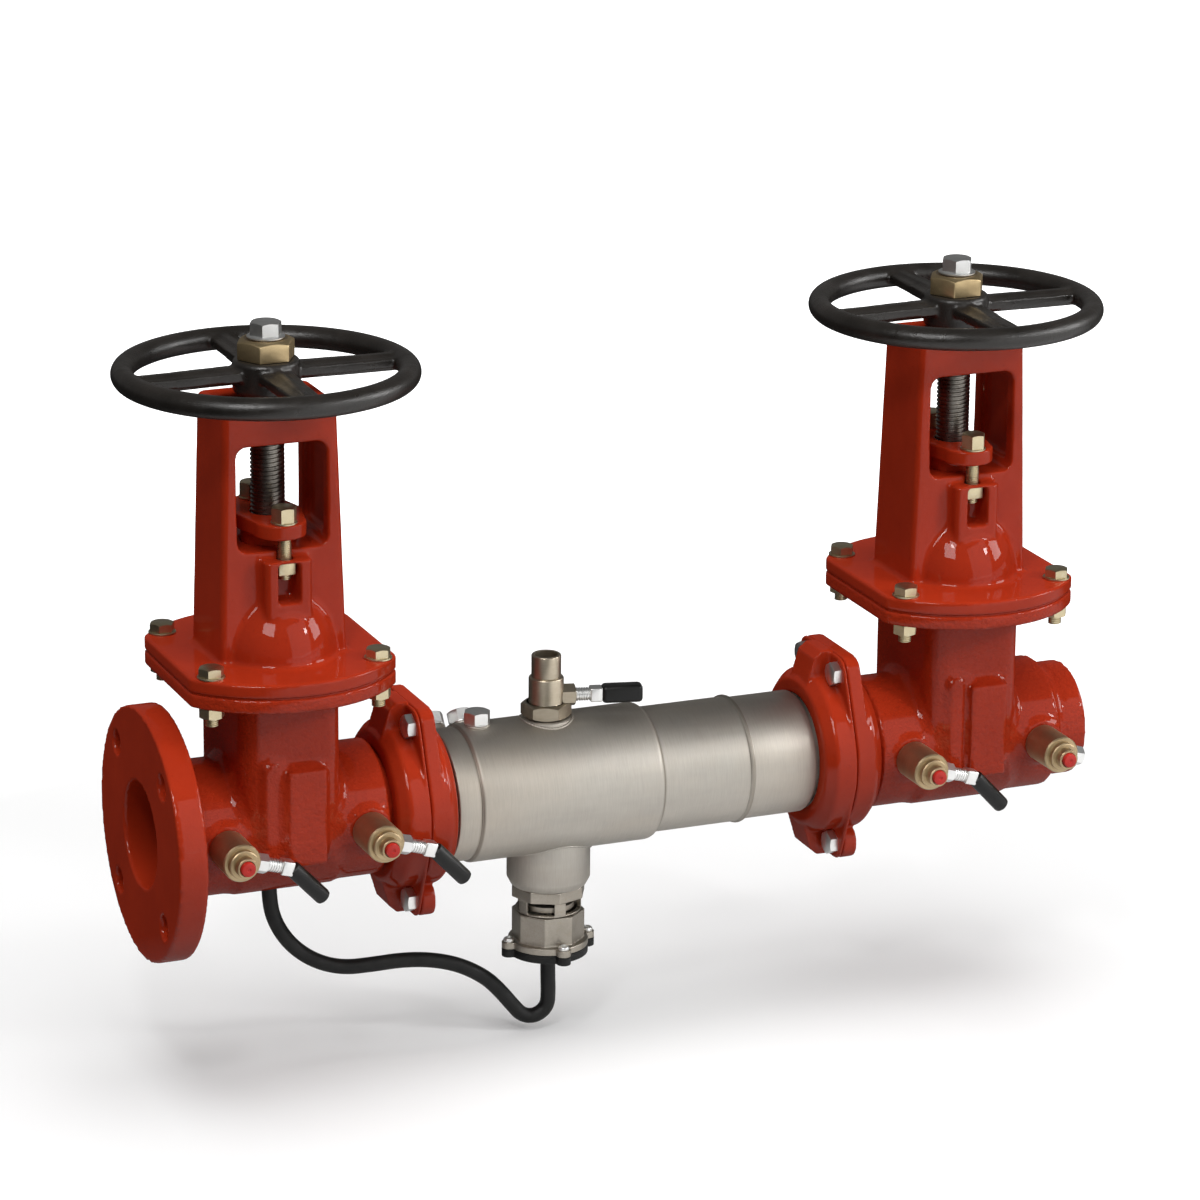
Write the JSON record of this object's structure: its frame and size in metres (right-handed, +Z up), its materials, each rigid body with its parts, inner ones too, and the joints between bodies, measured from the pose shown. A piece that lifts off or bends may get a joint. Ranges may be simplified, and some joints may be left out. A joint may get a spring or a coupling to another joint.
{
  "type": "reduced pressure backflow assembly",
  "caption": "Reduced pressure backflow assembly: rising-stem gate valves either side of a stainless check housing with relief valve, sensing hose and test cocks.",
  "frame": {"origin": "centre of the inlet flange's outer face, on the pipe axis", "axes": "+X runs downstream along the pipe axis, +Z up along the valve stems, +Y towards the side away from the test cocks"},
  "size_m": [0.776, 0.224, 0.5727],
  "materials": {
    "red_epoxy": "glossy baked epoxy over cast iron",
    "zinc_bolts": "yellow zinc plated",
    "black_wheel": "semi-gloss black enamel",
    "bronze": "machined bronze",
    "gold_nut": "plated hex nut",
    "stem_steel": "rolled thread, lightly greased",
    "bright_steel": "bright zinc plated steel",
    "rubber": "moulded rubber",
    "packing": "braided packing",
    "stainless": "satin stainless steel",
    "inner_plastic": "moulded engineering plastic",
    "relief_metal": "cast bronze, dull",
    "black_plastic": "moulded plastic",
    "hose_black": "smooth flexible hose",
    "brass": "machined brass, slightly dull",
    "red_cap": "moulded plastic",
    "lever_black": "vinyl dipped lever"
  },
  "bodies": {
    "assembly": {"check_housing": "stainless", "first_check_guide_cage": "inner_plastic", "first_check_seat": "inner_plastic", "first_check_spring": "bright_steel", "first_joint_downstream_ring": "red_epoxy", "first_joint_upstream_ring": "red_epoxy", "hose_fittings": "brass", "housing_plugs": "bright_steel", "inlet_bonnet": "red_epoxy", "inlet_bonnet_bolts": "zinc_bolts", "inlet_bonnet_gasket": "rubber", "inlet_gland_bolts": "zinc_bolts", "inlet_gland_plate": "red_epoxy", "inlet_stem_packing": "packing", "inlet_valve_body": "red_epoxy", "joint_bolts": "bright_steel", "joint_gaskets": "rubber", "joint_lock_rings": "bright_steel", "outlet_bonnet": "red_epoxy", "outlet_bonnet_bolts": "zinc_bolts", "outlet_bonnet_gasket": "rubber", "outlet_gland_bolts": "zinc_bolts", "outlet_gland_plate": "red_epoxy", "outlet_stem_packing": "packing", "outlet_valve_body": "red_epoxy", "relief_adapter": "relief_metal", "relief_body": "relief_metal", "relief_cover": "black_plastic", "relief_diaphragm": "rubber", "relief_screws": "bright_steel", "relief_spring": "bright_steel", "second_check_guide_cage": "inner_plastic", "second_check_seat": "inner_plastic", "second_check_spring": "bright_steel", "second_joint_downstream_ring": "red_epoxy", "second_joint_upstream_ring": "red_epoxy", "sensing_hose": "hose_black", "test_cock_bodies": "brass", "test_cock_caps": "red_cap", "top_test_cock_body": "brass"},
    "inlet_wheel": {"inlet_handwheel": "black_wheel", "inlet_yoke_sleeve": "bronze", "inlet_wheel_nut": "gold_nut"},
    "inlet_gate": {"inlet_stem": "stem_steel", "inlet_wedge": "rubber", "inlet_stem_cap_bolt": "bright_steel"},
    "outlet_wheel": {"outlet_handwheel": "black_wheel", "outlet_yoke_sleeve": "bronze", "outlet_wheel_nut": "gold_nut"},
    "outlet_gate": {"outlet_stem": "stem_steel", "outlet_wedge": "rubber", "outlet_stem_cap_bolt": "bright_steel"},
    "first_check_disc": {"first_check_disc": "inner_plastic"},
    "second_check_disc": {"second_check_disc": "inner_plastic"},
    "relief_poppet": {"relief_poppet": "relief_metal"},
    "inlet_upstream_cock_lever": {"inlet_upstream_cock_lever": "lever_black"},
    "inlet_downstream_cock_lever": {"inlet_downstream_cock_lever": "lever_black"},
    "outlet_upstream_cock_lever": {"outlet_upstream_cock_lever": "lever_black"},
    "top_cock_lever": {"top_cock_lever": "lever_black"}
  },
  "joints": [
    {"name": "inlet_wheel_turn", "type": "hinge", "parent": "assembly", "child": "inlet_wheel", "pos_m": [0.1016, 0, 0.3405], "axis": [0, 0, 1], "range_deg": [0, 5040]},
    {"name": "inlet_gate_slide", "type": "slide", "parent": "assembly", "child": "inlet_gate", "axis": [0, 0, 1], "range_m": [0, 0.0889]},
    {"name": "outlet_wheel_turn", "type": "hinge", "parent": "assembly", "child": "outlet_wheel", "pos_m": [0.6536, 0, 0.3405], "axis": [0, 0, 1], "range_deg": [0, 5040]},
    {"name": "outlet_gate_slide", "type": "slide", "parent": "assembly", "child": "outlet_gate", "axis": [0, 0, 1], "range_m": [0, 0.0889]},
    {"name": "first_check_slide", "type": "slide", "parent": "assembly", "child": "first_check_disc", "axis": [1, 0, 0], "range_m": [0, 0.016], "stiffness_N_per_m": 4000, "springref_m": -0.03, "deforming": ["first_check_spring"]},
    {"name": "second_check_slide", "type": "slide", "parent": "assembly", "child": "second_check_disc", "axis": [1, 0, 0], "range_m": [0, 0.016], "stiffness_N_per_m": 2000, "springref_m": -0.02, "deforming": ["second_check_spring"]},
    {"name": "relief_poppet_slide", "type": "slide", "parent": "assembly", "child": "relief_poppet", "axis": [0, 0, 1], "range_m": [0, 0.005], "stiffness_N_per_m": 3000, "springref_m": -0.01, "deforming": ["relief_spring"]},
    {"name": "inlet_upstream_cock_lever_turn", "type": "hinge", "parent": "assembly", "child": "inlet_upstream_cock_lever", "pos_m": [0.0501, -0.077, 0], "axis": [-0.9613, 0, 0.2756], "range_deg": [0, 90]},
    {"name": "inlet_downstream_cock_lever_turn", "type": "hinge", "parent": "assembly", "child": "inlet_downstream_cock_lever", "pos_m": [0.1606, -0.077, 0], "axis": [-0.9613, 0, 0.2756], "range_deg": [0, 90]},
    {"name": "outlet_upstream_cock_lever_turn", "type": "hinge", "parent": "assembly", "child": "outlet_upstream_cock_lever", "pos_m": [0.6021, -0.077, 0], "axis": [-0.9613, 0, 0.2756], "range_deg": [0, 90]},
    {"name": "top_cock_lever_turn", "type": "hinge", "parent": "assembly", "child": "top_cock_lever", "pos_m": [0.32, 0, 0.069], "axis": [0.9703, -0.2419, 0], "range_deg": [0, 90]}
  ],
  "couplings": [
    {"joint": "inlet_gate_slide", "follows": "inlet_wheel_turn", "m_per_rad": 0.0010106},
    {"joint": "outlet_gate_slide", "follows": "outlet_wheel_turn", "m_per_rad": 0.0010106}
  ]
}
